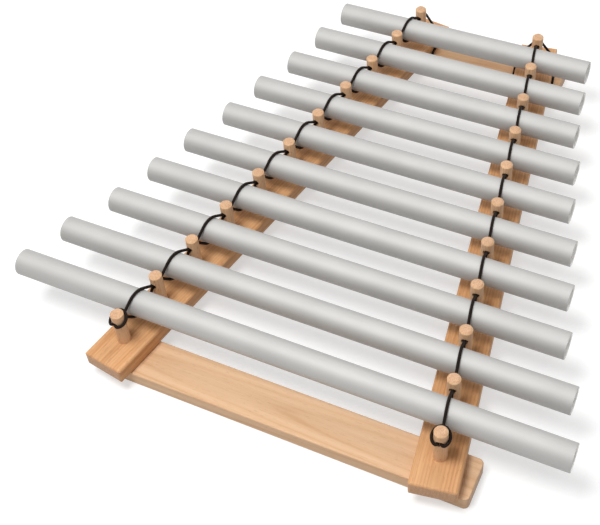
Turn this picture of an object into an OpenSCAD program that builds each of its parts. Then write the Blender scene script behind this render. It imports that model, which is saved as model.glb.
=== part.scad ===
// Table tube chime: ten tuned tubes lying across two rails on elastic cords.
// Millimetres. +X along the tubes, +Y from the longest tube to the shortest, +Z up.
// The origin is on the table, under the middle of the whole chime.

/* [Tubes] */
// Length of the longest tube
tube_long = 532; // [480:1:600]
// Outer diameter of each tube
tube_d = 25; // [20:0.5:30]
// Wall of each tube
tube_wall = 2; // [1.5:0.1:3]
// Chamfer on the rims of each tube
tube_chamfer = 0.4; // [0.2:0.1:0.6]
// Gap between a tube and the pegs beside it
tube_side_gap = 7; // [5:0.25:10]
// Gap between a tube and the rail under it
tube_rail_gap = 12.5; // [8:0.5:16]
// How far the tubes lie to the left of the middle of the frame
tubes_left = 10; // [0:1:15]

/* [Pegs] */
// Diameter of each peg
peg_d = 12; // [11:0.5:15]
// Height of a peg above its cord hole
peg_head = 11.5; // [8.5:0.5:16]
// Height of the cord holes above the tube axes
peg_hole_up = 2; // [0:0.5:4]
// Chamfer round the top of a peg
peg_chamfer = 1.8; // [0.5:0.1:2]
// Depth of the blind hole that holds a peg
peg_socket = 9; // [7:0.5:10]
// Glue gap round a peg in its blind hole
peg_glue_gap = 0.05; // [0.03:0.01:0.1]

/* [Rails] */
// Width of each rail
rail_w = 41.5; // [36:0.5:50]
// Thickness of each rail
rail_t = 16; // [12:0.5:20]
// Distance from the middle of the frame to the front peg of a rail
rail_half_front = 153; // [120:1:180]
// Distance from the middle of the frame to the rear peg of a rail
rail_half_rear = 70; // [50:1:100]
// Length of a rail in front of its first peg
rail_over_front = 31; // [28:0.5:50]
// Length of a rail behind its last peg
rail_over_rear = 32; // [26:0.5:50]
// Radius of the rounded edges of a rail
rail_edge = 2.5; // [1:0.1:4]

/* [Crossbars] */
// Depth of each crossbar, front to back
bar_depth = 41.5; // [34:0.5:46]
// Thickness of each crossbar
bar_t = 15; // [10:0.5:16]
// How far a crossbar face stays inside the ends of the rails
bar_inset = 9; // [2:0.5:10]
// Length of a crossbar beyond the right rail
bar_over_right = 11.5; // [6:0.5:30]
// Radius of the rounded edges of a crossbar
bar_edge = 1.2; // [1:0.1:4]
// Radius of the corners of a crossbar seen from above
bar_corner = 5; // [3:0.5:8]

/* [Screws] */
// Diameter of each wood screw
screw_d = 3.5; // [3:0.5:4]
// Length of each wood screw
screw_len = 21; // [14:0.5:24]
// Distance of a screw from the middle of its rail
screw_off = 9; // [8:0.5:10]
// Depth of the screw heads above the underside
screw_sink = 0.5; // [0.3:0.1:1]

/* [Cords] */
// Diameter of each elastic cord
cord_d = 2.8; // [2.4:0.1:3]
// Gap between a cord and what it goes round
cord_gap = 0.3; // [0.2:0.1:0.4]
// Gap between the two strands in a peg
strand_gap = 0.4; // [0.4:0.05:0.6]
// Rise of the front loop from the front of its peg to the back
loop_rise = 6.5; // [6:0.5:7]
// Length of the knot under each rail
knot_len = 8; // [7:0.5:10]
// Length of each cord end beyond its knot
cord_tail = 6; // [4:0.5:8]

/* [Hidden] */
$fn = 48;
eps = 0.01;
// How far the tool of a cut reaches past a face.
past = 1;

tube_count = 10;
peg_count = tube_count + 1;
sides = ["left", "right"];
function two(n) = str(n < 10 ? "0" : "", n);
function peg_name(side, n) = str(side, "_peg_", two(n));

// Five notes of each octave, in semitones above its first note.
scale_steps = [0, 2, 5, 7, 9];
function semitones(n) = scale_steps[(n - 1) % 5] + 12 * floor((n - 1) / 5);
// The pitch of a free tube goes as one over its length squared.
function tube_len(n) = tube_long * pow(2, -semitones(n) / 24);

// The frame, seen from above.
pitch = tube_d + peg_d + 2 * tube_side_gap;
row_len = tube_count * pitch;
rail_lean = atan((rail_half_front - rail_half_rear) / row_len);
rail_row = row_len / cos(rail_lean);
rail_len = rail_over_front + rail_row + rail_over_rear;
step_along = pitch / cos(rail_lean);
front_end = rail_over_front * cos(rail_lean);
rear_end = row_len + rail_over_rear * cos(rail_lean);
// The chime is centred front to back, between the ends of the rails.
peg_1_y = (front_end - rear_end) / 2;
rear_bar_y = peg_1_y + rear_end - bar_inset - bar_depth / 2;
front_bar_y = peg_1_y - front_end + bar_inset + bar_depth / 2;
frame_x = tubes_left;

// Heights.
rail_top = bar_t + rail_t;
tube_z = rail_top + tube_rail_gap + tube_d / 2;
hole_z = tube_z + peg_hole_up;
peg_top = hole_z + peg_head;
peg_foot = rail_top - peg_socket;

// Half the distance between the rail axes at a distance y from the front pegs.
function rail_half(y) = rail_half_front - y * tan(rail_lean);
function bar_right(bar_y) = rail_half(bar_y - peg_1_y) + rail_w / 2 / cos(rail_lean) + bar_over_right;
// The left end of a crossbar stays under the left rail.
function bar_left(bar_y) = rail_half(bar_y - peg_1_y + bar_depth / 2) + rail_w / 2 / cos(rail_lean) - bar_edge;

beech = "#d9a877";
pale_beech = "#e2bd92";
dowel = "#deb48c";
satin = "#d2d2ce";
black = "#1c1a19";
steel = "#9a9a96";

// A rectangle with round corners, about the origin.
module round_rect(size, r) {
    square([size.x - 2 * r, size.y], center = true);
    square([size.x, size.y - 2 * r], center = true);
    for (x = [-1, 1]) {
        for (y = [-1, 1]) {
            translate([x * (size.x / 2 - r), y * (size.y / 2 - r)]) circle(r);
        }
    }
}

// A board with round edges and sharp corners seen from above, about the origin.
module board(size, edge) {
    intersection() {
        linear_extrude(size.z, center = true) round_rect([size.x, size.y], edge);
        rotate([90, 0, 90]) linear_extrude(size.x, center = true) round_rect([size.y, size.z], edge);
        rotate([90, 0, 0]) linear_extrude(size.y, center = true) round_rect([size.x, size.z], edge);
    }
}

// A round plate with a round rim, about the origin.
module round_plate(r, h, edge) {
    rotate_extrude() {
        translate([0, -h / 2]) square([r - edge, h]);
        translate([0, edge - h / 2]) square([r, h - 2 * edge]);
        for (z = [-1, 1]) {
            translate([r - edge, z * (h / 2 - edge)]) circle(edge);
        }
    }
}

// A board whose round edges also follow its round corners, about the origin.
module round_board(size, edge, corner) {
    long = size.x - 2 * corner;
    deep = size.y - 2 * corner;
    rotate([90, 0, 90]) linear_extrude(long, center = true) round_rect([size.y, size.z], edge);
    rotate([90, 0, 0]) linear_extrude(deep, center = true) round_rect([size.x, size.z], edge);
    for (x = [-1, 1]) {
        for (y = [-1, 1]) {
            translate([x * long / 2, y * deep / 2, 0]) round_plate(corner, size.z, edge);
        }
    }
}

// Places its children in the axes of the right rail: X along it from the front peg, Y to its left.
module on_right_rail() {
    translate([frame_x + rail_half_front, peg_1_y, 0]) rotate(90 + rail_lean) children();
}

module on_rail(side) {
    if (side == "right") {
        on_right_rail() children();
    } else {
        translate([frame_x, 0, 0]) mirror([1, 0, 0]) translate([-frame_x, 0, 0]) on_right_rail() children();
    }
}

// Where the screws stand in the axes of a rail: two over the middle of each crossbar.
function bar_along(bar_y) = (bar_y - peg_1_y) / cos(rail_lean);
module at_screws() {
    for (bar_y = [front_bar_y, rear_bar_y]) {
        for (off = [-screw_off, screw_off]) {
            translate([bar_along(bar_y), off, screw_sink]) children();
        }
    }
}

// The outline of a countersunk screw, larger by a gap and lengthened below its head.
screw_head = screw_d / 2;
module screw_shape(gap, below) {
    r = screw_d / 2 + gap;
    rim = screw_d + gap;
    rotate_extrude() polygon([
        [0, -below], [rim, -below], [rim, 0], [r, screw_head], [r, screw_len + gap], [0, screw_len + gap]
    ]);
}

screw_gap = 0.1;
module screw_bore() {
    screw_shape(screw_gap, screw_sink + past);
}

slot_w = screw_d / 5;
slot_depth = screw_d / 3;
module screw() {
    difference() {
        screw_shape(0, 0);
        for (turn = [0, 90]) {
            rotate(turn) cube([screw_d, slot_w, 2 * slot_depth], center = true);
        }
    }
}

module frame_screws() {
    color(steel) {
        for (side = sides) {
            on_rail(side) at_screws() screw();
        }
    }
}

module crossbar(bar_y) {
    left = bar_left(bar_y);
    right = bar_right(bar_y);
    color(pale_beech) difference() {
        translate([frame_x + (right - left) / 2, bar_y, bar_t / 2])
            round_board([left + right, bar_depth, bar_t], bar_edge, bar_corner);
        for (side = sides) {
            on_rail(side) at_screws() screw_bore();
        }
    }
}

module front_crossbar() {
    crossbar(front_bar_y);
}

module rear_crossbar() {
    crossbar(rear_bar_y);
}

module rail(side) {
    color(beech) on_rail(side) difference() {
        translate([rail_len / 2 - rail_over_front, 0, bar_t + rail_t / 2])
            board([rail_len, rail_w, rail_t], rail_edge);
        for (n = [1 : peg_count]) {
            translate([(n - 1) * step_along, 0, peg_foot])
                cylinder(h = peg_socket + eps, d = peg_d + 2 * peg_glue_gap);
        }
        at_screws() screw_bore();
    }
}

// A turned peg with a chamfered top, and the cord hole through it along the rail.
module peg(side, n) {
    r = peg_d / 2;
    h = peg_top - peg_foot;
    color(dowel) on_rail(side) translate([(n - 1) * step_along, 0, peg_foot]) difference() {
        rotate_extrude() polygon([[0, 0], [r, 0], [r, h - peg_chamfer], [r - peg_chamfer, h], [0, h]]);
        translate([0, 0, hole_z - peg_foot]) rotate([0, 90, 0])
            cylinder(h = peg_d + 2 * past, d = peg_hole_d, center = true);
    }
}

// An open tube with both rims chamfered inside and outside.
module tube(n) {
    half = tube_len(n) / 2;
    r = tube_d / 2;
    bore = r - tube_wall;
    c = tube_chamfer;
    color(satin) translate([0, peg_1_y + (n - 0.5) * pitch, tube_z]) rotate([0, 90, 0]) rotate_extrude()
        polygon([
            [bore + c, half], [r - c, half], [r, half - c], [r, c - half],
            [r - c, -half], [bore + c, -half], [bore, c - half], [bore, half - c]
        ]);
}

// A cord is one length in the axes of the right rail. Its two strands run through the hole
// of every peg, one strand over all tubes and one under them.
cord_r = cord_d / 2;
cord_reach = cord_r + cord_gap;
strand_off = cord_r + strand_gap / 2;
peg_hole_d = 2 * (strand_off + cord_reach);
// Radius at which a strand bends round the edge of a hole.
lip_r = peg_hole_d / 2 - strand_off;
wrap_r = tube_d / 2 + cord_reach;
lip_steps = 2;
wrap_steps = 5;
turn_steps = 4;
loop_steps = 10;

// Corner n of a line that bends round a circle in so many steps and touches it between them.
function step_reach(r, turn, steps) = r / cos(turn / steps / 2);
function step_angle(turn, steps, n) = turn * (n - 0.5) / steps;

// One strand past tube n, with up at 1 over the tube and at -1 under it.
function bay(n, up) = let (
        middle = (n - 0.5) * step_along,
        lip = [pitch / 2 - peg_d / 2 * cos(rail_lean), peg_hole_d / 2 + up * (hole_z - tube_z)],
        climb = asin((lip_r + wrap_r) / norm(lip)) - atan(lip.y / lip.x),
        lip_out = step_reach(lip_r, climb, lip_steps),
        wrap_out = step_reach(wrap_r, 2 * climb, wrap_steps),
        leave = [for (k = [1 : lip_steps]) let (a = step_angle(climb, lip_steps, k))
            [lip.x - lip_out * sin(a), lip.y - lip_out * cos(a)]],
        over = [for (k = [1 : wrap_steps]) let (a = climb - step_angle(2 * climb, wrap_steps, k))
            [wrap_out * sin(a), wrap_out * cos(a)]],
        flat = concat(leave, over, [for (k = [lip_steps : -1 : 1]) [-leave[k - 1].x, leave[k - 1].y]])
    ) [for (p = flat) [middle - p.x / cos(rail_lean), 0, tube_z + up * p.y]];

// Inside an end peg both strands turn from side by side to one above the other.
twist_half = peg_d / 2 - 1;
twist_parts = [0.2, 0.5, 0.8];
function twist(side) = [for (part = twist_parts)
    [twist_half * (2 * part - 1), side * strand_off * cos(90 * part),
     hole_z + side * strand_off * sin(90 * part)]];
function rear_twist(side) = [for (p = backwards(twist(side))) [rail_row - p.x, p.y, p.z]];
function backwards(list) = [for (i = [len(list) - 1 : -1 : 0]) list[i]];

// The loop round the front peg, from the left strand to the right one.
loop_r = peg_d / 2 + cord_reach;
lip_x = sqrt(pow(peg_d / 2, 2) - pow(strand_off + cord_reach, 2));
lip_angle = atan((strand_off + cord_reach) / lip_x);
function loop_z(a) = hole_z + loop_rise * (1 - cos((a - lip_angle) * 180 / (180 - lip_angle))) / 2;
function loop_turn(side) = let (
        turn = 90 + lip_angle,
        out = step_reach(cord_reach, turn, turn_steps)
    ) [for (k = [1 : turn_steps]) let (a = step_angle(turn, turn_steps, k))
        [-lip_x - out * sin(a), side * (strand_off + cord_reach - out * cos(a)), hole_z]];
function loop_round() = let (
        turn = 360 - 2 * lip_angle,
        out = step_reach(loop_r, turn, loop_steps)
    ) [for (k = [1 : loop_steps]) let (a = lip_angle + step_angle(turn, loop_steps, k))
        [-out * cos(a), out * sin(a), loop_z(min(a, 360 - a))]];

// Replaces each inner corner of a line with a bend of its own radius.
bend_steps = 3;
function unit(v) = v / norm(v);
function bent(pts, radii) = [for (i = [0 : len(pts) - 1])
    if (i == 0 || i == len(pts) - 1) pts[i]
    else for (p = bend(pts[i - 1], pts[i], pts[i + 1], radii[i - 1])) p];
function bend(a, b, c, r) = let (
        back = unit(a - b),
        on = unit(c - b),
        turn = 180 - acos(back * on),
        cut = r * tan(turn / 2),
        heart = b + unit(back + on) * r / cos(turn / 2),
        first = unit(b + back * cut - heart),
        side = unit(-back)
    ) [for (k = [1 : bend_steps]) let (t = step_angle(turn, bend_steps, k))
        heart + step_reach(r, turn, bend_steps) * (first * cos(t) + side * sin(t))];

// Where a rail crosses the front face of the rear crossbar, at a distance across the rail.
function bar_face(across) =
    (rear_bar_y - bar_depth / 2 - peg_1_y + across * sin(rail_lean)) / cos(rail_lean);
knot_at = bar_face(0) - strand_off - 2 * cord_d;
knot_z = bar_t / 2;
side_off = rail_w / 2 + cord_reach;
// Where a strand goes over the edge of a rail, behind the last peg.
over_edge = rail_row + 0.75 * peg_d;
rear_bends = [cord_reach, cord_d, cord_d, 0.7 * cord_d, 0.65 * cord_d];

// From the last peg a strand goes over one edge of the rail, down past the crossbar and in to the knot.
function rear_run(side) = let (
        down = bar_face(side * side_off) - cord_reach / cos(rail_lean)
    ) bent([
        [rail_row + twist_half, side * strand_off, hole_z],
        [rail_row + loop_r, side * strand_off, hole_z],
        [over_edge, side * side_off, rail_top],
        [down, side * side_off, bar_t + cord_r],
        [down, side * side_off, knot_z],
        [knot_at, side * strand_off, knot_z],
        [knot_at - knot_len - cord_tail, side * strand_off, knot_z]
    ], rear_bends);

cord_route = concat(
    backwards(rear_run(1)),
    backwards(rear_twist(1)),
    [for (n = [tube_count : -1 : 1]) for (p = backwards(bay(n, 1))) p],
    backwards(twist(1)),
    loop_turn(1),
    loop_round(),
    backwards(loop_turn(-1)),
    twist(-1),
    [for (n = [1 : tube_count]) for (p = bay(n, -1)) p],
    rear_twist(-1),
    rear_run(-1)
);

// A round cord along a line of points, with mitred joints between its straight steps.
module sweep(pts, r, sides) {
    last = len(pts) - 1;
    dirs = [for (i = [0 : last - 1]) unit(pts[i + 1] - pts[i])];
    start = unit(cross(dirs[0], [0.3, 0.2, 1]));
    normals = [for (i = 0, n = start; i < last; i = i + 1, n = turned(n, dirs[min(i, last - 1)])) n];
    rings = [for (i = [0 : last])
        let (into = dirs[max(i - 1, 0)],
            out = dirs[min(i, last - 1)],
            n = normals[max(i - 1, 0)],
            side = cross(into, n),
            mitre = unit(into + out))
        for (k = [0 : sides - 1])
            let (off = r * (n * cos(360 * k / sides) + side * sin(360 * k / sides)))
            pts[i] + off - into * (off * mitre) / (into * mitre)];
    walls = [for (i = [0 : last - 1]) for (k = [0 : sides - 1])
        let (a = i * sides + k,
            b = i * sides + (k + 1) % sides)
        each [[a, a + sides, b + sides], [a, b + sides, b]]];
    ends = [for (k = [1 : sides - 2]) each
        [[0, k, k + 1], [last * sides, last * sides + k + 1, last * sides + k]]];
    polyhedron(rings, concat(walls, ends));
}
function turned(n, dir) = unit(n - dir * (n * dir));

cord_sides = 8;
knot_turns = 3;
knot_sides = 12;
knot_r = strand_off + 0.6 * cord_r;
// How far each turn of a knot sinks into the next one.
knot_press = 0.2;
module knot() {
    step = knot_len / knot_turns;
    for (k = [0 : knot_turns - 1]) {
        translate([knot_at - (k + 0.5) * step - cord_r, 0, knot_z]) rotate([0, 90, 0])
            rotate_extrude($fn = knot_sides) translate([knot_r, 0])
                circle(d = step + knot_press, $fn = cord_sides);
    }
}

module cord(side) {
    color(black) on_rail(side) {
        sweep(cord_route, cord_r, cord_sides);
        knot();
    }
}

front_crossbar();
rear_crossbar();
rail("left");  // left_rail
rail("right");  // right_rail
frame_screws();
cord("left");  // left_cord
cord("right");  // right_cord
for (side = sides) {
    for (n = [1 : peg_count]) {
        peg(side, n);
    }
}
for (n = [1 : tube_count]) {
    tube(n);
}
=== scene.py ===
import math
import bpy
import numpy as np
from mathutils import Matrix, Vector


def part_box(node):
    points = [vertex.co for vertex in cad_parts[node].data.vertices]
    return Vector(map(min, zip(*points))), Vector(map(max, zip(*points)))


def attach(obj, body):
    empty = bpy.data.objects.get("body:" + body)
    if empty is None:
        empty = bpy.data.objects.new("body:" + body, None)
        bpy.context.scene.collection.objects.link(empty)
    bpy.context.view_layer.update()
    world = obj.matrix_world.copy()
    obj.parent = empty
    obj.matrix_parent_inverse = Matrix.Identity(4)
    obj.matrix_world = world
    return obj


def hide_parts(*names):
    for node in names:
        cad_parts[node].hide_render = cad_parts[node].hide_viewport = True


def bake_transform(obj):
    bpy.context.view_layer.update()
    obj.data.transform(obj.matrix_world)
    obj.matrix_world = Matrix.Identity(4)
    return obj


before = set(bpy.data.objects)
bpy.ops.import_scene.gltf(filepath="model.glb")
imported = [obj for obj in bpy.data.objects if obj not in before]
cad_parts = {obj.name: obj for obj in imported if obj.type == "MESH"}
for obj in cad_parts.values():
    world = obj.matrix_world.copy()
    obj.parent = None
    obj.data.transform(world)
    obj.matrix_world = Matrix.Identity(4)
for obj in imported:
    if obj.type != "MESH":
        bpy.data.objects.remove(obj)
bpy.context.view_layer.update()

# table tube chime: ten satin tubes on two braided elastic cords, beech rails and crossbars
tubeCount = len([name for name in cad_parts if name.startswith("tube_")])
pegCount = tubeCount + 1
tubes = [f"tube_{n:02d}" for n in range(1, tubeCount + 1)]
sides = ("left", "right")


def middleOf(node):
    low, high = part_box(node)
    return (low + high) / 2


def channel(value):
    # the sRGB curve for a channel of 0 to 255
    share = value / 255
    return share / 12.92 if value <= 10 else ((share + 0.055) / 1.055) ** 2.4


def linear(red, green, blue):
    # a screen colour as Blender's scene-linear colour
    return (channel(red), channel(green), channel(blue), 1)


# the camera is fitted to the photograph
cameraSet = {
    "turn": 26.39,          # degrees round the chime
    "drop": 46.35,          # degrees down
    "roll": -3.03,
    "place": (0.3169, -0.68847, 0.8174),
    "focalPixels": 1079.6,
    "axisPixel": (360, 200),
    "picture": (600, 525),
    "sensor": 36,
    "clip": (0.02, 30),
}


def addCamera(setting):
    turn, drop, roll = (math.radians(setting[k]) for k in ("turn", "drop", "roll"))
    forward = Vector((-math.sin(turn) * math.cos(drop), math.cos(turn) * math.cos(drop), -math.sin(drop)))
    side = Vector((math.cos(turn), math.sin(turn), 0))
    upward = side.cross(forward)
    across = side * math.cos(roll) + upward * math.sin(roll)
    up = upward * math.cos(roll) - side * math.sin(roll)
    camera = bpy.data.objects.new("camera", bpy.data.cameras.new("camera"))
    bpy.context.scene.collection.objects.link(camera)
    camera.matrix_world = Matrix((
        (across.x, up.x, -forward.x, setting["place"][0]),
        (across.y, up.y, -forward.y, setting["place"][1]),
        (across.z, up.z, -forward.z, setting["place"][2]),
        (0, 0, 0, 1)))
    wide, high = setting["picture"]
    lens = camera.data
    lens.sensor_width = setting["sensor"]
    lens.lens = setting["focalPixels"] * lens.sensor_width / wide
    lens.shift_x = (wide / 2 - setting["axisPixel"][0]) / wide
    lens.shift_y = (setting["axisPixel"][1] - high / 2) / wide
    lens.clip_start, lens.clip_end = setting["clip"]
    bpy.context.scene.camera = camera


addCamera(cameraSet)
print("camera set")

cordSet = {
    "radius": 0.00136,      # half way between the braid's valleys and its ridges
    "ridge": 0.00012,       # from the valleys up to the ridges
    "level": 0.62,          # how high a yarn lies on average, as a share of the ridge
    "swing": 0.38,          # and how far it goes over and under the others
    "sides": 30,            # of the cord's section
    "step": 0.0005,         # between two sections
    "ease": 3,              # rounds of smoothing where arcs meet
    "samePoint": 0.000001,
    "yarns": 6,             # in each of the two directions
    "lay": 520,             # radians of turn for each metre of cord
    "strandOff": 0.0016,    # from the middle of a peg hole
    "holeRadius": 0.0033,
    "holeUp": 0.002,        # above the tube axes
    "holeInset": 0.001,     # how far inside an end peg's faces the strands' twist keeps
    "twistSpan": (0.1, 0.9),
    "tubeGap": 0.0001,      # between a ridge and a tube
    "loopRise": 0.0065,     # up to the loop's highest point, behind the front peg
    "edgeGap": 0.0017,      # from a strand's middle to what it bends round
    "snug": 0.0001,         # so much closer where it is drawn tight
    "behindPeg": 0.009,     # from the last peg to where it crosses the rail's edges
    "overBar": 0.0014,      # height over the rear crossbar where it turns down
    "rearBends": (0.0017, 0.0028, 0.0028, 0.00196, 0.00182),    # radii, from the last peg to the knot
    "knotAhead": 0.0056,    # from the crossbar's face to the knot
    "knotLong": 0.008,
    "tail": 0.006,          # of each loose end
    "aboveRail": 0.005,     # points lower than this belong to the run at the rear
    "blendFrom": 0.0005,    # from a peg's face to where the strands begin to follow a tube
    "blendTo": 0.0112,      # and from the tube's middle to where they have its whole travel
    "lipSteps": 5, "wrapSteps": 26, "twistSteps": 8, "mouthSteps": 10, "loopSteps": 60, "bendSteps": 8,
}

# measures of the frame, the right row of pegs stands for both
firstPeg = middleOf("right_peg_01")
lastPeg = middleOf(f"right_peg_{pegCount:02d}")
pegLow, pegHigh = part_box("left_peg_01")
tubeLow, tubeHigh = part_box("tube_01")
barLow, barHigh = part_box("rear_crossbar")
pegRadius = (pegHigh.x - pegLow.x) / 2
tubeRadius = (tubeHigh.y - tubeLow.y) / 2
tubeZ = middleOf("tube_01").z
frameX = middleOf("left_peg_01").x / 2 + firstPeg.x / 2
railRow = Vector((lastPeg - firstPeg).xy).length
lean = math.atan2(firstPeg.x - lastPeg.x, lastPeg.y - firstPeg.y)
pitch = (lastPeg.y - firstPeg.y) / tubeCount
halfBay = pitch / 2 - pegRadius * math.cos(lean)
stepAlong = railRow / tubeCount
holeZ = tubeZ + cordSet["holeUp"]
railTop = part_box("left_rail")[1].z
barTop = barHigh.z
railHalf = 0.02075          # half a rail's width, which its box doesn't give as it lies askew


def onRail(side, point):
    # along the rail from its front peg, across it to the inner side, and up
    along, across, up = point
    x = firstPeg.x - frameX - along * math.sin(lean) - across * math.cos(lean)
    y = firstPeg.y + along * math.cos(lean) - across * math.sin(lean)
    return Vector((frameX + (x if side == "right" else -x), y, up))


def arc(start, end, count):
    return [start + (end - start) * k / count for k in range(count + 1)]


def bayLine(n, up):
    # one strand past tube n, over it with up = 1 and under it with up = -1
    lipRadius = cordSet["holeRadius"] - cordSet["strandOff"]
    wrap = tubeRadius + cordSet["radius"] + cordSet["ridge"] + cordSet["tubeGap"]
    lip = (halfBay, cordSet["holeRadius"] + up * cordSet["holeUp"])
    climb = math.asin((lipRadius + wrap) / math.hypot(*lip)) - math.atan2(lip[1], lip[0])
    leave = [(lip[0] - lipRadius * math.sin(a), lip[1] - lipRadius * math.cos(a))
             for a in arc(0, climb, cordSet["lipSteps"])]
    over = [(wrap * math.sin(a), wrap * math.cos(a)) for a in arc(climb, -climb, cordSet["wrapSteps"])]
    flat = leave + over + [(-x, z) for x, z in reversed(leave)]
    middle = (n - 0.5) * stepAlong
    return [Vector((middle - x / math.cos(lean), 0, tubeZ + up * z)) for x, z in flat]


def twistLine(hand):
    # in an end peg the strands turn from side by side to one above the other
    half, off = pegRadius - cordSet["holeInset"], cordSet["strandOff"]
    line = []
    for t in arc(*cordSet["twistSpan"], cordSet["twistSteps"]):
        turned = math.pi / 2 * t
        line.append(Vector((half * (2 * t - 1), hand * off * math.cos(turned), holeZ + hand * off * math.sin(turned))))
    return line


def loopLine():
    # out of the front peg's hole to the inner side, round the peg's back and in from the outer side
    bend = cordSet["edgeGap"] - cordSet["snug"]
    mouth = cordSet["strandOff"] + bend
    deep = math.sqrt(pegRadius ** 2 - mouth ** 2)
    lipAngle = math.atan2(mouth, deep)
    radius = pegRadius + bend
    turned = math.pi / 2 + lipAngle
    start = [Vector((-deep - bend * math.sin(a), mouth - bend * math.cos(a), holeZ))
             for a in arc(0, turned, cordSet["mouthSteps"])]
    ring = []
    for a in arc(lipAngle, 2 * math.pi - lipAngle, cordSet["loopSteps"])[1:-1]:
        share = (min(a, 2 * math.pi - a) - lipAngle) / (math.pi - lipAngle)
        rise = cordSet["loopRise"] * (1 - math.cos(share * math.pi)) / 2
        ring.append(Vector((-radius * math.cos(a), radius * math.sin(a), holeZ + rise)))
    return start + ring + [Vector((p.x, -p.y, p.z)) for p in reversed(start)]


def bent(points, radii, count):
    # each inner corner becomes a bend of its own radius
    line = [points[0]]
    for before, corner, after, radius in zip(points, points[1:], points[2:], radii):
        back, on = (before - corner).normalized(), (after - corner).normalized()
        turned = math.pi - back.angle(on)
        heart = corner + (back + on).normalized() * radius / math.cos(turned / 2)
        begin = (corner + back * radius * math.tan(turned / 2) - heart).normalized()
        line += [heart + radius * (begin * math.cos(a) - back * math.sin(a)) for a in arc(0, turned, count)]
    return line + [points[-1]]


def faceAlong(across):
    # where the rail crosses the front face of the rear crossbar
    return (barLow.y - firstPeg.y + across * math.sin(lean)) / math.cos(lean)


knotAt = faceAlong(0) - cordSet["strandOff"] - cordSet["knotAhead"]
knotZ = barTop / 2


def rearLine(hand):
    # over the rail's edge behind the last peg, forward past the crossbar and in to the knot
    edge = railHalf + cordSet["edgeGap"] - cordSet["snug"]
    down = faceAlong(hand * edge) - cordSet["edgeGap"] / math.cos(lean)
    off = hand * cordSet["strandOff"]
    points = [
        (railRow + pegRadius - cordSet["holeInset"], off, holeZ),
        (railRow + pegRadius + cordSet["edgeGap"], off, holeZ),
        (railRow + cordSet["behindPeg"], hand * edge, railTop),
        (down, hand * edge, barTop + cordSet["overBar"]),
        (down, hand * edge, knotZ),
        (knotAt, off, knotZ),
        (knotAt - cordSet["knotLong"] - cordSet["tail"], off, knotZ),
    ]
    return bent([Vector(p) for p in points], cordSet["rearBends"], cordSet["bendSteps"])


def backToFront(line):
    return list(reversed(line))


def rearTwist(hand):
    return [Vector((railRow - p.x, p.y, p.z)) for p in backToFront(twistLine(hand))]


def cordLine():
    # from the rear over the tubes, round the front peg and back to the rear under them
    line = backToFront(rearLine(1)) + backToFront(rearTwist(1))
    for n in range(tubeCount, 0, -1):
        line += backToFront(bayLine(n, 1))
    line += backToFront(twistLine(1)) + loopLine() + twistLine(-1)
    for n in range(1, tubeCount + 1):
        line += bayLine(n, -1)
    return line + rearTwist(-1) + rearLine(-1)


def evenLine(line):
    # the same line with points one step apart, eased a little where arcs meet
    points = np.array(line)
    points = points[np.r_[True, np.linalg.norm(np.diff(points, axis=0), axis=1) > cordSet["samePoint"]]]
    reach = np.r_[0, np.cumsum(np.linalg.norm(np.diff(points, axis=0), axis=1))]
    at = np.linspace(0, reach[-1], int(reach[-1] / cordSet["step"]) + 1)
    even = np.stack([np.interp(at, reach, points[:, k]) for k in range(3)], axis=1)
    for _ in range(cordSet["ease"]):
        even[1:-1] = even[1:-1] / 2 + (even[:-2] + even[2:]) / 4
    return even, at


def braidHeight(angle, along):
    # two families of yarns that pass over and under each other
    one = cordSet["yarns"] * (angle + cordSet["lay"] * along)
    two = cordSet["yarns"] * (angle - cordSet["lay"] * along)
    swap = np.cos((one + two) / 2)
    ridgeOne = np.abs(np.cos(one / 2)) * (cordSet["level"] + cordSet["swing"] * swap)
    ridgeTwo = np.abs(np.cos(two / 2)) * (cordSet["level"] - cordSet["swing"] * swap)
    return np.maximum(ridgeOne, ridgeTwo)


def cordRings(line, at):
    # the braided surface, one ring of points for each point of the line
    ahead = np.gradient(line, axis=0)
    ahead /= np.linalg.norm(ahead, axis=1)[:, None]
    anyWay = (0.3, 0.2, 1.0)
    normal = np.cross(ahead[0], anyWay)
    normals = []
    for direction in ahead:
        normal = normal - direction * (normal @ direction)
        normal /= np.linalg.norm(normal)
        normals.append(normal)
    normals = np.array(normals)
    binormals = np.cross(ahead, normals)
    angle = np.linspace(0, 2 * math.pi, cordSet["sides"], endpoint=False)[None, :]
    radius = cordSet["radius"] - cordSet["ridge"] / 2 + cordSet["ridge"] * braidHeight(angle, at[:, None])
    return line[:, None, :] + radius[..., None] * (
        np.cos(angle)[..., None] * normals[:, None, :] + np.sin(angle)[..., None] * binormals[:, None, :])


braidMap = "turnAndLength"


def cordMesh(name, stretches):
    # closed lengths of cord in one mesh, with the turn and the length as UV
    points, faces, uvs = [], [], []
    for rings, at in stretches:
        base, (count, around) = len(points), rings.shape[:2]
        points += [tuple(p) for p in rings.reshape(-1, 3)]
        for i in range(count - 1):
            for k in range(around):
                a, b = base + i * around + k, base + i * around + (k + 1) % around
                faces.append((a, b, b + around, a + around))
                u, w = k / around, (k + 1) / around
                uvs += [(u, at[i]), (w, at[i]), (w, at[i + 1]), (u, at[i + 1])]
        for i, turn in ((0, -1), (count - 1, 1)):
            rim = [base + i * around + k for k in range(around)][::turn]
            middle = len(points)
            points.append(tuple(rings[i].mean(axis=0)))
            for k in range(around):
                faces.append((middle, rim[k], rim[(k + 1) % around]))
                uvs += [(0.5, at[i]), (k / around, at[i]), ((k + 1) / around, at[i])]
    mesh = bpy.data.meshes.new(name)
    mesh.from_pydata(points, [], faces)
    layer = mesh.uv_layers.new(name=braidMap)
    layer.data.foreach_set("uv", np.array(uvs, np.float32).ravel())
    mesh.polygons.foreach_set("use_smooth", [True] * len(faces))
    mesh.validate()
    piece = bpy.data.objects.new(name, mesh)
    bpy.context.scene.collection.objects.link(piece)
    return piece


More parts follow.
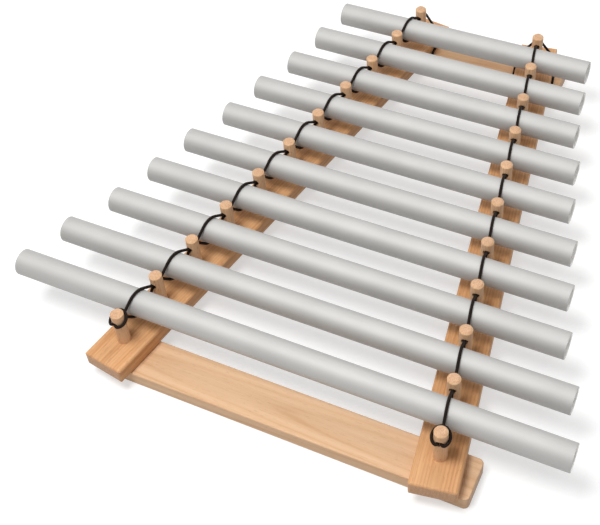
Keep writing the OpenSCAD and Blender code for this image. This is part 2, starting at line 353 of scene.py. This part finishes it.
def makeCord(side, finish):
    line, at = evenLine([onRail(side, p) for p in cordLine()])
    rings = cordRings(line, at)
    # the run over the tubes comes first, then the loop, then the run under them
    front = int(np.argmin(line[:, 1]))
    pieces = []

    def stretch(a, b):
        return rings[a:b + 1], at[a:b + 1]

    def cuts(y):
        # where the upper and the lower strand pass y, between the front peg and the last one
        off = np.abs(line[:, 1] - y) + (line[:, 2] < railTop + cordSet["aboveRail"])
        return int(np.argmin(off[:front])), front + int(np.argmin(off[front:]))

    marks = []
    for tube in tubes:
        middle = middleOf(tube).y
        marks.append([cuts(middle - halfBay), cuts(middle), cuts(middle + halfBay)])
    for n, tube in enumerate(tubes, 1):
        middle = middleOf(tube).y
        (highA, lowA), (highB, lowB), (highC, lowC) = marks[n - 1]
        for half, hand, parts in (
                ("front", -1, [stretch(highB, highA), stretch(lowA, lowB)]),
                ("back", 1, [stretch(highC, highB), stretch(lowB, lowC)])):
            piece = cordMesh(f"{side}_strands_{n:02d}_{half}", parts)
            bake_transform(piece)
            pieces.append(piece)
    held = []
    for before, after in zip(marks, marks[1:]):
        held += [stretch(after[0][0], before[2][0]), stretch(before[2][1], after[0][1])]
    holes = cordMesh(f"{side}_strands_in_pegs", held)
    loop = cordMesh(f"{side}_front_loop", [stretch(*marks[0][0])])
    rear = cordMesh(f"{side}_rear_run", [stretch(0, marks[-1][2][0]), stretch(marks[-1][2][1], len(line) - 1)])
    knot = makeKnot(side)
    for piece in (holes, loop, rear, knot):
        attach(piece, "frame")
        pieces.append(piece)
    for piece in pieces:
        piece.data.materials.append(finish)
        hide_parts(side + "_cord")
    return pieces


knotSet = {
    "turns": 2.7,
    "wide": 0.0036, "high": 0.0027,     # the half axes of each turn
    "lead": 0.0027,                     # from one turn to the next
    "inset": 0.0027,                    # from the knot's face to the middle of its first turn
    "steps": 160,
}


def makeKnot(side):
    # tight turns round both strands
    line = []
    for t in arc(0, 1, knotSet["steps"]):
        turned = 2 * math.pi * knotSet["turns"] * t
        along = knotAt - knotSet["inset"] - t * knotSet["turns"] * knotSet["lead"]
        across, up = knotSet["wide"] * math.sin(turned), knotSet["high"] * math.cos(turned)
        line.append(onRail(side, (along, across, knotZ + up)))
    even, at = evenLine(line)
    return cordMesh(side + "_knot", [(cordRings(even, at), at)])


def newFinish(name):
    finish = bpy.data.materials.new(name)
    finish.use_nodes = True
    finish.node_tree.nodes.clear()
    return finish, finish.node_tree


def setSocket(tree, socket, value):
    # a value is either another node's output or a constant
    if isinstance(value, bpy.types.NodeSocket):
        tree.links.new(value, socket)
    else:
        socket.default_value = value


def addNode(tree, kind, inputs=None, **settings):
    # each new node is placed in rows of eight
    node = tree.nodes.new("ShaderNode" + kind)
    node.location = (220 * (len(tree.nodes) % 8), -260 * (len(tree.nodes) // 8))
    for name, value in settings.items():
        setattr(node, name, value)
    for name, value in (inputs or {}).items():
        setSocket(tree, node.inputs[name], value)
    return node


def doMath(tree, operation, a, b=0.0):
    return addNode(tree, "Math", {0: a, 1: b}, operation=operation).outputs[0]


def times(tree, first, *others):
    for other in others:
        first = doMath(tree, "MULTIPLY", first, other)
    return first


def plus(tree, first, *others):
    for other in others:
        first = doMath(tree, "ADD", first, other)
    return first


def minus(tree, a, b):
    return doMath(tree, "SUBTRACT", a, b)


def spread(tree, value, span, low=0, high=1):
    # the span of values becomes low to high, and what lies outside it stops there
    return addNode(tree, "MapRange", {"Value": value, "From Min": span[0], "From Max": span[1],
                                      "To Min": low, "To Max": high}).outputs[0]


def moved(tree, vector, **changes):
    # changes are the Rotation, the Location and the Scale of a mapping
    return addNode(tree, "Mapping", {"Vector": vector, **changes}).outputs[0]


def noise(tree, vector, scale, detail, rough):
    return addNode(tree, "TexNoise", {"Vector": vector, "Scale": scale, "Detail": detail,
                                      "Roughness": rough}).outputs[0]


def mixColour(tree, share, a, b, blend="MIX"):
    node = addNode(tree, "Mix", data_type="RGBA", blend_type=blend)
    for number, value in ((0, share), (6, a), (7, b)):
        setSocket(tree, node.inputs[number], value)
    return node.outputs[2]


def shaded(tree, colour, shade):
    grey = addNode(tree, "CombineColor", {0: shade, 1: shade, 2: shade}).outputs[0]
    return mixColour(tree, 1.0, colour, grey, "MULTIPLY")


def bumpOf(tree, height, strength, distance):
    return addNode(tree, "Bump", {"Height": height, "Strength": strength, "Distance": distance}).outputs[0]


def closeFinish(tree, shader):
    output = addNode(tree, "OutputMaterial")
    tree.links.new(shader.outputs[0], output.inputs["Surface"])


middleSpan = (0.3, 0.7)     # where most values of a noise lie

beechSet = {
    "pale": (229, 179, 129), "warm": (209, 151, 100), "late": (173, 114, 68),
    "fleck": (130, 81, 47), "cut": (203, 165, 136),
    "heart": (0.0, 0.012, -0.030),          # how far the board lies from the heart of its log
    "tilt": (0, 0.02, 0.01),
    "ring": 0.0030, "ringShare": 0.30, "lateShare": 0.30, "vein": 0.34, "fibre": 0.14, "fleckShare": 0.24,
    "wander": 7.0, "wanderDetail": 2.5, "wanderScale": 0.32, "wanderRough": 0.55,
    # how much the pattern is drawn out along the grain
    "ringStretch": 0.10, "fibreStretch": 0.02, "fleckStretch": 0.14,
    # scale, detail and roughness of each noise
    "fibreNoise": (1900, 3.0, 0.65), "streakNoise": (170, 3.0, 0.6), "veinNoise": (430, 4.0, 0.65),
    "fleckNoise": (1150, 1.0, 0.4), "toneNoise": (9, 2.0, 0.5), "poreNoise": (1200, 2.0, 0.8),
    # the spans of values that each pattern takes from its noise
    "fleckSpan": (0.63, 0.70), "poreSpan": (0.46, 0.60), "streakSpan": (0.32, 0.68), "veinSpan": (0.50, 0.66),
    "fibreSpan": (0.35, 0.75), "lateSpan": (0.0, 0.14), "lateStreakSpan": (0.35, 0.6), "lateStreakLow": 0.2,
    "endSpan": (0.72, 0.86), "cutShare": 0.45, "poreShare": 0.34,
    "tone": (0.90, 1.06), "rough": (0.46, 0.60),
    "fibreHigh": 0.6, "fleckDeep": 0.5, "bump": 0.25, "bumpDistance": 0.0002, "specular": 0.35,
}


def beechFinish(name, turn=(0, 0, 0), **changes):
    # growth rings along the grain, fine fibres, short dark flecks and a darker end grain
    look = {**beechSet, **changes}
    pale, warm, late, fleck, cut = (linear(*look[k]) for k in ("pale", "warm", "late", "fleck", "cut"))
    finish, tree = newFinish(name)
    coords = addNode(tree, "TexCoord")
    board = moved(tree, coords.outputs["Object"], Rotation=turn)
    log = moved(tree, board, Rotation=look["tilt"], Location=look["heart"])
    stretched = moved(tree, log, Scale=(look["ringStretch"], 1, 1))
    fine = moved(tree, board, Scale=(look["fibreStretch"], 1, 1))
    dashed = moved(tree, board, Scale=(look["fleckStretch"], 1, 1))
    # the rings of a wave texture lie 0.314 / scale apart
    rings = addNode(tree, "TexWave", {
        "Vector": stretched, "Scale": 0.314 / look["ring"], "Distortion": look["wander"],
        "Detail": look["wanderDetail"], "Detail Scale": look["wanderScale"], "Detail Roughness": look["wanderRough"]},
        wave_type="RINGS", rings_direction="X").outputs[1]
    fibres = noise(tree, fine, *look["fibreNoise"])
    streaks = noise(tree, fine, *look["streakNoise"])
    veins = noise(tree, fine, *look["veinNoise"])
    flecks = spread(tree, noise(tree, dashed, *look["fleckNoise"]), look["fleckSpan"])
    pores = spread(tree, noise(tree, board, *look["poreNoise"]), look["poreSpan"])
    tone = noise(tree, stretched, *look["toneNoise"])
    normal = addNode(tree, "Mapping", {"Vector": coords.outputs["Normal"], "Rotation": turn},
                     vector_type="NORMAL").outputs[0]
    grainWay = addNode(tree, "SeparateXYZ", {"Vector": normal}).outputs[0]
    endGrain = spread(tree, doMath(tree, "ABSOLUTE", grainWay), look["endSpan"])
    bands = plus(tree, times(tree, rings, look["ringShare"]),
                 times(tree, spread(tree, streaks, look["streakSpan"]), 1 - look["ringShare"]))
    lateWood = times(tree, spread(tree, rings, look["lateSpan"], look["lateShare"], 0),
                     spread(tree, streaks, look["lateStreakSpan"], 1, look["lateStreakLow"]))
    colour = mixColour(tree, bands, warm, pale)
    colour = mixColour(tree, lateWood, colour, late)
    colour = mixColour(tree, spread(tree, veins, look["veinSpan"], 0, look["vein"]), colour, late)
    colour = mixColour(tree, spread(tree, fibres, look["fibreSpan"], 0, look["fibre"]), colour, fleck)
    colour = mixColour(tree, times(tree, flecks, look["fleckShare"]), colour, fleck)
    colour = shaded(tree, colour, spread(tree, tone, middleSpan, *look["tone"]))
    sawn = mixColour(tree, look["cutShare"], colour, cut)
    sawn = mixColour(tree, times(tree, pores, look["poreShare"]), sawn, fleck)
    colour = mixColour(tree, endGrain, colour, sawn)
    height = plus(tree, times(tree, fibres, look["fibreHigh"]), times(tree, flecks, -look["fleckDeep"]))
    closeFinish(tree, addNode(tree, "BsdfPrincipled", {
        "Base Color": colour, "Roughness": spread(tree, fibres, middleSpan, *look["rough"]),
        "Normal": bumpOf(tree, height, look["bump"], look["bumpDistance"]), "Specular IOR Level": look["specular"]}))
    return finish


aluminiumSet = {
    "satin": (183, 182, 180), "worn": (172, 171, 168), "millWithPaintedLight": (240, 239, 236),
    "metallic": 0.8, "roughness": 0.72, "rubSmooth": 0.06, "rimSmooth": 0.12,
    "drawn": (0.008, 1, 1), "rubbed": (1, 0.25, 1),
    # scale, detail and roughness of each noise
    "lineNoise": (2600, 3.0, 0.6), "grainNoise": (4200, 2.0, 0.7), "cloudNoise": (22, 3.0, 0.5),
    "rubNoise": (260, 4.0, 0.7), "rubSpan": (0.64, 0.74),
    "cloud": 0.03, "line": 0.035, "rub": 0.35,
    "bore": 0.0112, "boreEdge": 0.0003,     # inside this distance from the axis the metal is bare, and painted lighter as painted light in the bore's own shade
    "rimSpan": (0.5, 0.8),
    "turning": 30000.0,                     # radians of tool marks for each metre across a rim
    "lineHigh": 0.5, "grainHigh": 0.3, "turningHigh": 0.6, "bump": 0.12, "bumpDistance": 0.0001,
}


def aluminiumFinish(name, look):
    # satin anodised skin with faint drawing lines, smoother turned rims and a mill bore, whose colour is also painted
    # lighter as painted light in its own shade
    finish, tree = newFinish(name)
    coords = addNode(tree, "TexCoord")
    body = coords.outputs["Object"]
    place = addNode(tree, "SeparateXYZ", {"Vector": body})
    lines = noise(tree, moved(tree, body, Scale=look["drawn"]), *look["lineNoise"])
    grainy = noise(tree, body, *look["grainNoise"])
    cloud = noise(tree, body, *look["cloudNoise"])
    rubs = spread(tree, noise(tree, moved(tree, body, Scale=look["rubbed"]), *look["rubNoise"]), look["rubSpan"])
    # distance from the axis of the nearest tube
    fromFirst = minus(tree, place.outputs[1], middleOf("tube_01").y)
    nearest = doMath(tree, "ROUND", doMath(tree, "DIVIDE", fromFirst, pitch))
    across = minus(tree, fromFirst, times(tree, nearest, pitch))
    high = minus(tree, place.outputs[2], tubeZ)
    reach = doMath(tree, "SQRT", plus(tree, times(tree, across, across), times(tree, high, high)))
    inBore = spread(tree, reach, (look["bore"], look["bore"] - look["boreEdge"]))
    facing = addNode(tree, "SeparateXYZ", {"Vector": coords.outputs["Normal"]}).outputs[0]
    rim = spread(tree, doMath(tree, "ABSOLUTE", facing), look["rimSpan"])
    turned = doMath(tree, "SINE", times(tree, reach, look["turning"]))
    tone = spread(tree, cloud, middleSpan, -look["cloud"], look["cloud"])
    line = spread(tree, lines, middleSpan, -look["line"], look["line"])
    colour = shaded(tree, linear(*look["satin"]), plus(tree, 1.0, plus(tree, tone, line)))
    colour = mixColour(tree, times(tree, rubs, look["rub"]), colour, linear(*look["worn"]))
    # the bore takes bare mill metal's colour, painted lighter than the metal as painted light against the bore's own
    # shade
    colour = mixColour(tree, inBore, colour, linear(*look["millWithPaintedLight"]))
    rough = plus(tree, look["roughness"], plus(tree, line, times(tree, rubs, -look["rubSmooth"])))
    rough = minus(tree, rough, times(tree, rim, look["rimSmooth"]))
    height = plus(tree, times(tree, lines, look["lineHigh"]), times(tree, grainy, look["grainHigh"]),
                  times(tree, turned, rim, look["turningHigh"]))
    closeFinish(tree, addNode(tree, "BsdfPrincipled", {
        "Base Color": colour, "Roughness": rough, "Metallic": look["metallic"],
        "Normal": bumpOf(tree, height, look["bump"], look["bumpDistance"])}))
    return finish


braidSet = {
    "yarn": (43, 31, 25), "valleyPaintedShade": (15, 11, 9), "shine": (44, 37, 32),
    "filaments": 12.0,      # on half a yarn's turn
    "fuzzNoise": (2200, 2.0, 0.6), "fuzzSpan": (0.45, 0.75), "ridgeSpan": (0.35, 0.95),
    "sheen": 0.35, "threadHigh": 0.12, "fuzzHigh": 0.2,
    "roughness": 0.75, "specular": 0.12, "bump": 0.5, "bumpDistance": 0.0001,
}


def braidFinish(name, look):
    # dark yarns, each with fine filaments along its own way round the cord, painted darker in the valleys between them
    # as painted shade and lighter on their ridges as a painted highlight
    finish, tree = newFinish(name)
    place = addNode(tree, "SeparateXYZ", {"Vector": addNode(tree, "UVMap", uv_map=braidMap).outputs[0]})
    turn = times(tree, place.outputs[0], 2 * math.pi)
    run = times(tree, place.outputs[1], cordSet["lay"])
    one = times(tree, plus(tree, turn, run), cordSet["yarns"] / 2)
    two = times(tree, minus(tree, turn, run), cordSet["yarns"] / 2)
    swap = doMath(tree, "COSINE", plus(tree, one, two))
    lift = spread(tree, swap, (-1, 1), -cordSet["swing"], cordSet["swing"])

    def ridgeOf(way, level):
        return times(tree, doMath(tree, "ABSOLUTE", doMath(tree, "COSINE", way)), level)

    def threadsOf(way):
        return doMath(tree, "SINE", times(tree, way, look["filaments"]))

    highOne = ridgeOf(one, plus(tree, cordSet["level"], lift))
    highTwo = ridgeOf(two, minus(tree, cordSet["level"], lift))
    top = doMath(tree, "MAXIMUM", highOne, highTwo)
    firstOver = doMath(tree, "GREATER_THAN", highOne, highTwo)
    threads = plus(tree, times(tree, firstOver, threadsOf(one)),
                   times(tree, minus(tree, 1.0, firstOver), threadsOf(two)))
    fuzz = noise(tree, addNode(tree, "TexCoord").outputs["Object"], *look["fuzzNoise"])
    ridge = spread(tree, top, look["ridgeSpan"])
    # the valleys between the yarns are painted darker: painted shade
    colour = mixColour(tree, ridge, linear(*look["valleyPaintedShade"]), linear(*look["yarn"]))
    # the fuzzy ridges are painted lighter: a painted highlight
    sheen = times(tree, spread(tree, fuzz, look["fuzzSpan"]), times(tree, ridge, look["sheen"]))
    colour = mixColour(tree, sheen, colour, linear(*look["shine"]))
    height = plus(tree, top, plus(tree, times(tree, threads, look["threadHigh"]), times(tree, fuzz, look["fuzzHigh"])))
    closeFinish(tree, addNode(tree, "BsdfPrincipled", {
        "Base Color": colour, "Roughness": look["roughness"], "Specular IOR Level": look["specular"],
        "Normal": bumpOf(tree, height, look["bump"], look["bumpDistance"])}))
    return finish


steelSet = {
    "zinc": (170, 170, 166), "dull": (120, 119, 116), "rough": (0.29, 0.46),
    "cloudNoise": (900, 3.0, 0.5), "cloudSpan": (0.35, 0.7), "fineNoise": (5200, 2.0, 0.5),
    "metallic": 1.0, "bump": 0.15, "bumpDistance": 0.00005,
}


def steelFinish(name, look):
    # zinc with dull clouds
    finish, tree = newFinish(name)
    body = addNode(tree, "TexCoord").outputs["Object"]
    cloud = spread(tree, noise(tree, body, *look["cloudNoise"]), look["cloudSpan"])
    fine = noise(tree, body, *look["fineNoise"])
    colour = mixColour(tree, cloud, linear(*look["zinc"]), linear(*look["dull"]))
    closeFinish(tree, addNode(tree, "BsdfPrincipled", {
        "Base Color": colour, "Roughness": spread(tree, fine, middleSpan, *look["rough"]),
        "Metallic": look["metallic"], "Normal": bumpOf(tree, fine, look["bump"], look["bumpDistance"])}))
    return finish


def dress(node, finish):
    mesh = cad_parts[node].data
    mesh.materials.clear()
    mesh.materials.append(finish)


# the turns bring the grain along each board, and up in the dowels
rightRailSet = {"turn": (0, 0, -math.pi / 2 - lean), "heart": (0.2, 0.031, -0.040)}
leftRailSet = {"turn": (0, 0, -math.pi / 2 + lean), "heart": (0.5, -0.030, -0.046)}
barSet = {"fibre": 0.08, "ringShare": 0.42, "wander": 4.5}
frontBarSet = {
    **barSet, "heart": (0.1, 0.258, 0.002), "tilt": (0, 0.035, 0.01),
    "pale": (232, 194, 156), "warm": (220, 178, 137), "late": (196, 146, 102),
    "vein": 0.10, "ring": 0.0054, "lateShare": 0.36, "fleckShare": 0.12,
}
# the rear crossbar's beech is painted lighter than the front one's: painted light in place of the light that the last
# tubes' shade takes from it
rearBarPaintedLightSet = {
    **barSet, "heart": (0.4, -0.252, 0.004), "tilt": (0, -0.03, 0.01),
    "pale": (248, 205, 160), "warm": (236, 186, 140), "late": (210, 156, 112),
    "vein": 0.12, "ring": 0.0050, "lateShare": 0.40, "fleckShare": 0.14,
}
dowelSet = {
    "turn": (0, math.pi / 2, 0), "heart": (0, 0, 0.02),
    "pale": (234, 194, 154), "warm": (218, 172, 130), "late": (196, 146, 104),
    "ring": 0.0026, "ringShare": 0.2, "veinNoise": (900, 4.0, 0.65), "vein": 0.20, "fibre": 0.16, "fleckShare": 0.35,
}
finishes = {
    "aluminium": aluminiumFinish("satinAluminium", aluminiumSet),
    "rightRail": beechFinish("beechRightRail", **rightRailSet),
    "leftRail": beechFinish("beechLeftRail", **leftRailSet),
    "frontBar": beechFinish("beechFrontBar", **frontBarSet),
    "rearBar": beechFinish("beechRearBarPaintedLight", **rearBarPaintedLightSet),
    "dowel": beechFinish("beechDowel", **dowelSet),
    "cord": braidFinish("braidedElastic", braidSet),
    "screw": steelFinish("zincScrew", steelSet),
}
for tube in tubes:
    dress(tube, finishes["aluminium"])
for side in sides:
    dress(side + "_rail", finishes[side + "Rail"])
    for n in range(1, pegCount + 1):
        dress(f"{side}_peg_{n:02d}", finishes["dowel"])
dress("front_crossbar", finishes["frontBar"])
dress("rear_crossbar", finishes["rearBar"])
dress("frame_screws", finishes["screw"])
print("wood, tubes and screws finished")

for side in sides:
    made = makeCord(side, finishes["cord"])
    print(side, "cord:", len(made), "pieces,", sum(len(p.data.vertices) for p in made), "points")

studioSet = {
    "floor": (196, 196, 196), "floorLift": 0.53, "floorSize": 6.0,
    "fill": 0.36, "background": 1.0,
    "lamps": {
        "softKey": {"place": (-0.20, -0.53, 1.40), "size": 0.6, "power": 15.3},
        "softBack": {"place": (0.05, 0.62, 1.30), "size": 0.8, "power": 5.2},
    },
}


def seenDirectly(tree):
    # 1 for what the camera, a gloss or a glass shows, 0 for the light that falls on the chime
    path = addNode(tree, "LightPath")
    rays = [path.outputs[f"Is {kind} Ray"] for kind in ("Camera", "Glossy", "Transmission")]
    return doMath(tree, "MINIMUM", plus(tree, *rays), 1.0)


def makeFloor(setting):
    half = setting["floorSize"] / 2
    mesh = bpy.data.meshes.new("floor")
    mesh.from_pydata([(-half, -half, 0), (half, -half, 0), (half, half, 0), (-half, half, 0)], [], [(0, 1, 2, 3)])
    floor = bpy.data.objects.new("floor", mesh)
    bpy.context.scene.collection.objects.link(floor)
    finish, tree = newFinish("paleFloor")
    lift = times(tree, seenDirectly(tree), setting["floorLift"])
    paper = addNode(tree, "BsdfDiffuse", {"Color": linear(*setting["floor"])})
    glow = addNode(tree, "Emission", {"Color": (1, 1, 1, 1), "Strength": lift})
    closeFinish(tree, addNode(tree, "AddShader", {0: paper.outputs[0], 1: glow.outputs[0]}))
    mesh.materials.append(finish)


def makeSky(setting):
    world = bpy.data.worlds.new("paleStudio")
    world.use_nodes = True
    tree = world.node_tree
    tree.nodes.clear()
    strength = spread(tree, seenDirectly(tree), (0, 1), setting["fill"], setting["background"])
    sky = addNode(tree, "Background", {"Color": (1, 1, 1, 1), "Strength": strength})
    output = addNode(tree, "OutputWorld")
    tree.links.new(sky.outputs[0], output.inputs["Surface"])
    bpy.context.scene.world = world


def makeLamp(name, look):
    # a round lamp turned to the middle of the floor
    lamp = bpy.data.lights.new(name, "AREA")
    lamp.shape = "DISK"
    lamp.size = look["size"]
    lamp.energy = look["power"]
    light = bpy.data.objects.new(name, lamp)
    light.location = look["place"]
    light.rotation_euler = (-Vector(look["place"])).to_track_quat("-Z", "Y").to_euler()
    bpy.context.scene.collection.objects.link(light)


makeFloor(studioSet)
makeSky(studioSet)
for name, look in studioSet["lamps"].items():
    makeLamp(name, look)
bpy.context.scene.view_settings.view_transform = "Standard"
print("studio set")
